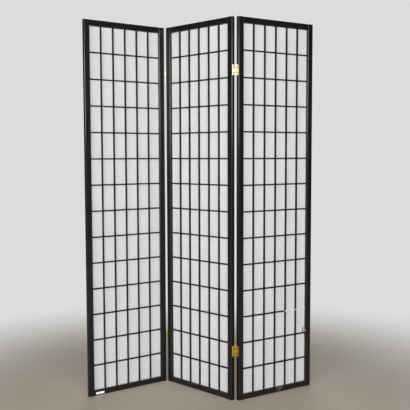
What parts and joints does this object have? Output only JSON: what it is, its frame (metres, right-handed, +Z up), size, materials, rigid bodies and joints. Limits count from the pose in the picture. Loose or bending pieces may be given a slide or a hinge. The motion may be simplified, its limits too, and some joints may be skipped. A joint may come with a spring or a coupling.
{
  "type": "folding room divider screen",
  "caption": "Folding room divider of narrow panels, each a slim dark frame with a square lattice over translucent paper, on two-way hinges.",
  "frame": {"origin": "centre of the middle panel's foot, on the floor", "axes": "+Z up; -Y is the front, from which the left joint is a valley and the right joint a peak; +X to the right as seen from the front"},
  "size_m": [1.0917, 0.322, 1.785],
  "materials": {
    "frame_paint": "satin black paint on wood",
    "lattice_paint": "thin dark brown-black paint on wood",
    "paper": "matt translucent white paper",
    "hinge_brass": "brushed brass plate",
    "pin_brass": "drawn brass",
    "screw_brass": "polished brass",
    "label": "blank matt white label"
  },
  "bodies": {
    "middle_panel": {"middle_left_stile": "frame_paint", "middle_right_stile": "frame_paint", "middle_top_rail": "frame_paint", "middle_bottom_rail": "frame_paint", "middle_lattice_uprights": "lattice_paint", "middle_lattice_crossbars": "lattice_paint", "middle_paper": "paper", "left_upper_middle_leaf": "hinge_brass", "left_upper_middle_screws": "screw_brass", "left_lower_middle_leaf": "hinge_brass", "left_lower_middle_screws": "screw_brass", "right_upper_middle_leaf": "hinge_brass", "right_upper_middle_screws": "screw_brass", "right_lower_middle_leaf": "hinge_brass", "right_lower_middle_screws": "screw_brass"},
    "left_link": {"left_upper_link": "hinge_brass", "left_upper_front_pin": "pin_brass", "left_upper_back_pin": "pin_brass", "left_lower_link": "hinge_brass", "left_lower_front_pin": "pin_brass", "left_lower_back_pin": "pin_brass"},
    "left_panel": {"left_outer_stile": "frame_paint", "left_hinge_stile": "frame_paint", "left_top_rail": "frame_paint", "left_bottom_rail": "frame_paint", "left_lattice_uprights": "lattice_paint", "left_lattice_crossbars": "lattice_paint", "left_paper": "paper", "left_label": "label", "left_upper_panel_leaf": "hinge_brass", "left_upper_panel_screws": "screw_brass", "left_lower_panel_leaf": "hinge_brass", "left_lower_panel_screws": "screw_brass"},
    "right_link": {"right_upper_link": "hinge_brass", "right_upper_front_pin": "pin_brass", "right_upper_back_pin": "pin_brass", "right_lower_link": "hinge_brass", "right_lower_front_pin": "pin_brass", "right_lower_back_pin": "pin_brass"},
    "right_panel": {"right_hinge_stile": "frame_paint", "right_outer_stile": "frame_paint", "right_top_rail": "frame_paint", "right_bottom_rail": "frame_paint", "right_lattice_uprights": "lattice_paint", "right_lattice_crossbars": "lattice_paint", "right_paper": "paper", "right_upper_panel_leaf": "hinge_brass", "right_upper_panel_screws": "screw_brass", "right_lower_panel_leaf": "hinge_brass", "right_lower_panel_screws": "screw_brass"}
  },
  "joints": [
    {"name": "left_back_pin", "type": "hinge", "parent": "middle_panel", "child": "left_link", "pos_m": [-0.15481, 0.15804, 0.8925], "axis": [0, 0, -1], "range_deg": [0, 90]},
    {"name": "left_front_pin", "type": "hinge", "parent": "left_link", "child": "left_panel", "pos_m": [-0.16845, 0.14341, 0.8925], "axis": [0, 0, 1], "range_deg": [-77.5, 102.5]},
    {"name": "right_front_pin", "type": "hinge", "parent": "middle_panel", "child": "right_link", "pos_m": [0.15481, -0.15804, 0.8925], "axis": [0, 0, -1], "range_deg": [0, 90]},
    {"name": "right_back_pin", "type": "hinge", "parent": "right_link", "child": "right_panel", "pos_m": [0.16845, -0.14341, 0.8925], "axis": [0, 0, 1], "range_deg": [-74, 106]}
  ]
}
